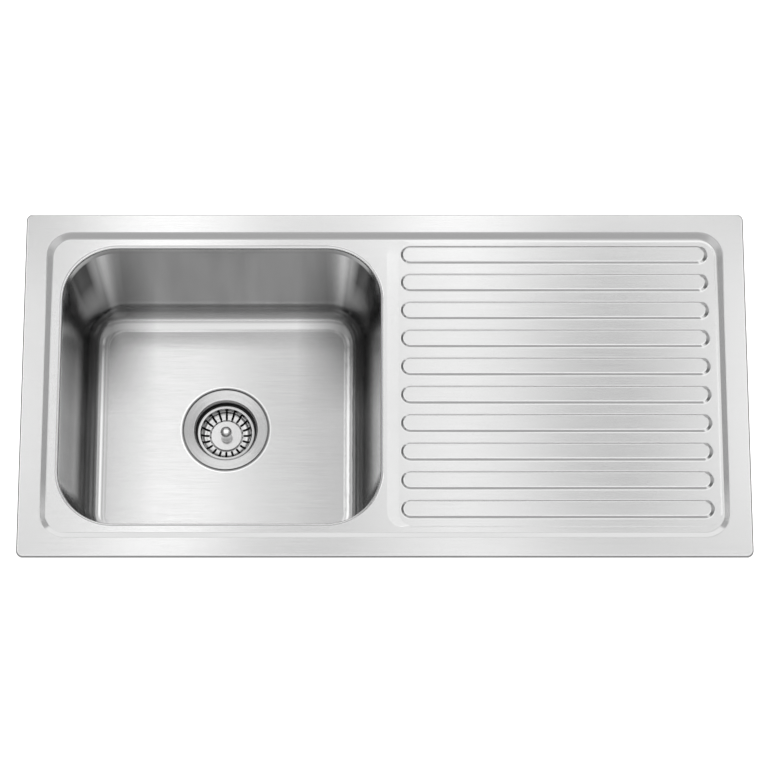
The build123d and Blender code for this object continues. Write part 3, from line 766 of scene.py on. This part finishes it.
world = bpy.data.worlds.new("studio")
bpy.context.scene.world = world
world.use_nodes = True
world.node_tree.nodes["Background"].inputs["Color"].default_value = (0.06, 0.06, 0.06, 1.0)


def softbox(name, centre, facing, width, length, radiance):
    """A rectangular lamp of an even brightness: width runs level, length across it."""
    lamp = bpy.data.lights.new(name, "AREA")
    lamp.shape = "RECTANGLE"
    lamp.size = width
    lamp.size_y = length
    lamp.energy = radiance * math.pi * width * length
    holder = bpy.data.objects.new(name, lamp)
    bpy.context.scene.collection.objects.link(holder)
    holder.location = centre
    holder.rotation_euler = Vector(facing).to_track_quat("-Z", "Y").to_euler()


def ceiling(name, left, right, front, back, radiance):
    """A softbox above the sink that faces down."""
    middle = ((left + right) / 2, (front + back) / 2, CEILING)
    softbox(name, middle, (0, 0, -1), right - left, back - front, radiance)


def wall(name, facing, bottom, top, radiance, left=-WALL, right=WALL):
    """A softbox upright beside the sink that faces it."""
    away = -WALL * Vector(facing)
    along = (left + right) / 2 * Vector((abs(facing[1]), abs(facing[0]), 0))
    centre = away + along + Vector((0, 0, (bottom + top) / 2))
    softbox(name, centre, facing, right - left, top - bottom, radiance)


# The cloth over the sink is unevenly lit: from left to right each strip of it has its strength
# in a front, a middle and a back row. The strengths were given, a few rounds of them, until the
# sheet's reflections came out about as bright as in the photograph.
ROWS = (0.35, 0.54, 1.155, 1.4)
STRIP_ENDS = (
    -0.95, -0.66, -0.55, -0.35, -0.26, -0.1, 0.03, 0.12, 0.22, 0.31, 0.4, 0.56, 0.66, 0.95
)
STRIP_STRENGTHS = (
    (0.8, 1.1, 0.5),
    (0.95, 0.75, 1.25),
    (1.42, 1.72, 1.65),
    (0.75, 1.1, 1.3),
    (0.66, 0.8, 1.08),
    (0.82, 0.98, 1.16),
    (1.05, 1.25, 1.6),
    (1.3, 1.34, 1.8),
    (1.08, 1.1, 1.35),
    (0.93, 0.8, 1.14),
    (0.9, 0.6, 1.18),
    (0.88, 0.98, 1.14),
    (0.85, 1.2, 0.8),
)
BRIGHT_END = 1.7
BACK_HALF = 1.2
for left, right, strengths in zip(STRIP_ENDS, STRIP_ENDS[1:], STRIP_STRENGTHS):
    for front, back, radiance in zip(ROWS, ROWS[1:], strengths):
        ceiling(f"strip_{left}_{front}", left, right, front, back, radiance)

# Beyond the strips the cloth is brighter, then dimmer, and the side walls have four bands.
for side, facing in (("left", (1, 0, 0)), ("right", (-1, 0, 0))):
    ends = [-end * facing[0] for end in (STRIP_ENDS[-1], BRIGHT_END, WALL)]
    ceiling(f"{side}_bright", *sorted(ends[:2]), ROWS[0], ROWS[-1], 1.9)
    ceiling(f"{side}_dim", *sorted(ends[1:]), ROWS[0], ROWS[-1], 0.7)
    wall(f"{side}_low", facing, -0.25, 0.7, 0.12)
    wall(f"{side}_middle", facing, 0.75, 1.2, 0.5)
    wall(f"{side}_upper", facing, 1.2, 1.75, 0.1)
    wall(f"{side}_high", facing, 1.75, 2.38, 1.0)

# The rest of the ceiling, and the front and the back wall.
ceiling("far_back", -WALL, WALL, ROWS[-1], 2.4, 1.0)
ceiling("overhead", -WALL, WALL, -0.5, ROWS[0], 1.35)
ceiling("above_front", -WALL, WALL, -1.4, -0.5, 1.3)
ceiling("far_front", -WALL, WALL, -1.85, -1.4, 0.9)
ceiling("front_edge", -WALL, WALL, -2.4, -1.85, 0.85)
wall("front_high", (0, 1, 0), 1.85, 2.38, 1.5)
wall("front_middle", (0, 1, 0), 0.7, 1.85, 0.5)
wall("front_low", (0, 1, 0), -0.25, 0.7, 0.15)
wall("back", (0, -1, 0), -0.25, 2.35, 1.1, -BACK_HALF, BACK_HALF)
wall("back_left", (0, -1, 0), -0.25, 2.35, 0.5, -WALL, -BACK_HALF)
wall("back_right", (0, -1, 0), -0.25, 2.35, 0.5, BACK_HALF, WALL)

CAMERA_PLACE = (-0.00114, -1.7932, 5.0799)
CAMERA_TILT = math.radians(19.446)
FOCAL_LENGTH = 183.47
SENSOR_WIDTH = 36.0

camera = bpy.data.cameras.new("camera")
camera.sensor_width = SENSOR_WIDTH
camera.lens = FOCAL_LENGTH
camera.clip_end = 50.0
viewer = bpy.data.objects.new("camera", camera)
bpy.context.scene.collection.objects.link(viewer)
viewer.location = CAMERA_PLACE
viewer.rotation_euler = (CAMERA_TILT, 0.0, 0.0)
bpy.context.scene.camera = viewer
bpy.context.scene.view_settings.view_transform = "Standard"
